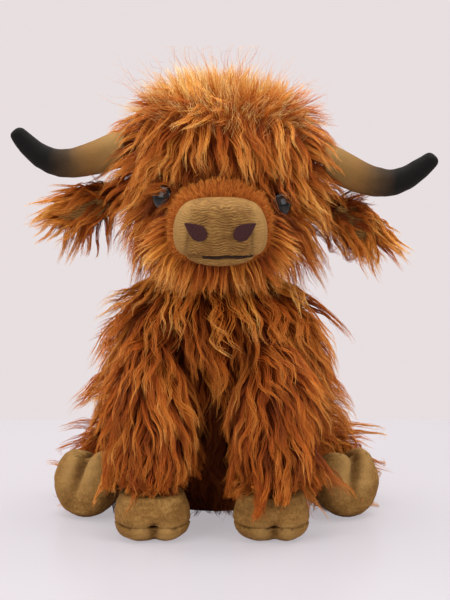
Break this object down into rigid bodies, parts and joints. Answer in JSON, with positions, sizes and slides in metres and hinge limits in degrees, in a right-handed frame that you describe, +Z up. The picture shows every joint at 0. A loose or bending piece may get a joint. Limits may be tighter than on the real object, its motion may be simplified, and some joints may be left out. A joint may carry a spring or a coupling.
{
  "type": "plush toy cow",
  "caption": "Seated shaggy-coated plush cow with curved horns, drooping ears, a square muzzle, glossy eyes and cloven hooves, whose head, ears, legs and tail give at their seams.",
  "frame": {"origin": "centre of the flat seat, on the surface that the toy sits on", "axes": "+Z up, the toy faces -Y and its own left side is at +X"},
  "size_m": [0.2719, 0.1927, 0.2841],
  "materials": {
    "long_pile": "long wavy rust-brown faux fur",
    "short_pile": "short rust-brown pile",
    "tan_velboa": "short-nap tan velboa",
    "horn_velboa": "short-nap velboa, tan that fades to black at the tips",
    "nostril_felt": "dark maroon felt",
    "mouth_thread": "dark stitching thread",
    "eye_plastic": "glossy dark brown dome",
    "washer_plastic": "plain moulded washer",
    "stuffing": "white polyester fibre filling"
  },
  "bodies": {
    "torso": {"torso_coat": "long_pile", "torso_stuffing": "stuffing"},
    "head": {"head_coat": "long_pile", "head_stuffing": "stuffing", "face_panel": "short_pile", "muzzle": "tan_velboa", "chin": "tan_velboa", "mouth_stitch": "mouth_thread", "nostril_left": "nostril_felt", "nostril_right": "nostril_felt", "eye_left": "eye_plastic", "eye_right": "eye_plastic", "eye_washer_left": "washer_plastic", "eye_washer_right": "washer_plastic", "horn_left": "horn_velboa", "horn_right": "horn_velboa"},
    "ear_left": {"ear_left": "long_pile", "ear_lining_left": "tan_velboa"},
    "ear_right": {"ear_right": "long_pile", "ear_lining_right": "tan_velboa"},
    "front_leg_left": {"front_leg_left": "long_pile", "front_leg_stuffing_left": "stuffing", "front_hoof_left": "tan_velboa", "front_sole_left": "tan_velboa"},
    "front_leg_right": {"front_leg_right": "long_pile", "front_leg_stuffing_right": "stuffing", "front_hoof_right": "tan_velboa", "front_sole_right": "tan_velboa"},
    "rear_leg_left": {"rear_leg_left": "long_pile", "rear_leg_stuffing_left": "stuffing", "rear_hoof_left": "tan_velboa", "rear_sole_left": "tan_velboa"},
    "rear_leg_right": {"rear_leg_right": "long_pile", "rear_leg_stuffing_right": "stuffing", "rear_hoof_right": "tan_velboa", "rear_sole_right": "tan_velboa"},
    "tail": {"tail": "long_pile", "tail_tuft": "long_pile"}
  },
  "joints": [
    {"name": "neck_nod", "type": "hinge", "parent": "torso", "child": "head", "pos_m": [0, -0.018, 0.152], "axis": [0.9981, 0, -0.061], "range_deg": [-10, 10], "stiffness_Nm_per_rad": 0.8},
    {"name": "ear_flap_left", "type": "hinge", "parent": "head", "child": "ear_left", "pos_m": [0.06542, -0.012, 0.2021], "axis": [0.4772, 0, 0.8788], "range_deg": [-20, 20], "stiffness_Nm_per_rad": 0.004},
    {"name": "ear_flap_right", "type": "hinge", "parent": "head", "child": "ear_right", "pos_m": [-0.05883, -0.012, 0.2097], "axis": [0.3665, 0, -0.9304], "range_deg": [-20, 20], "stiffness_Nm_per_rad": 0.004},
    {"name": "shoulder_swing_left", "type": "hinge", "parent": "torso", "child": "front_leg_left", "pos_m": [0.0345, -0.05498, 0.1265], "axis": [-1, 0, 0], "range_deg": [0, 50], "stiffness_Nm_per_rad": 0.02},
    {"name": "shoulder_swing_right", "type": "hinge", "parent": "torso", "child": "front_leg_right", "pos_m": [-0.04, -0.05187, 0.1265], "axis": [-1, 0, 0], "range_deg": [0, 50], "stiffness_Nm_per_rad": 0.02},
    {"name": "hip_splay_left", "type": "hinge", "parent": "torso", "child": "rear_leg_left", "pos_m": [0.04839, 0.05, 0.034], "axis": [0, 0, 1], "range_deg": [0, 25], "stiffness_Nm_per_rad": 0.02},
    {"name": "hip_splay_right", "type": "hinge", "parent": "torso", "child": "rear_leg_right", "pos_m": [-0.04838, 0.05, 0.034], "axis": [0, 0, -1], "range_deg": [0, 25], "stiffness_Nm_per_rad": 0.02},
    {"name": "tail_swing", "type": "hinge", "parent": "torso", "child": "tail", "pos_m": [0, 0.06416, 0.062], "axis": [0, 1, 0], "range_deg": [-25, 25], "stiffness_Nm_per_rad": 0.002}
  ]
}
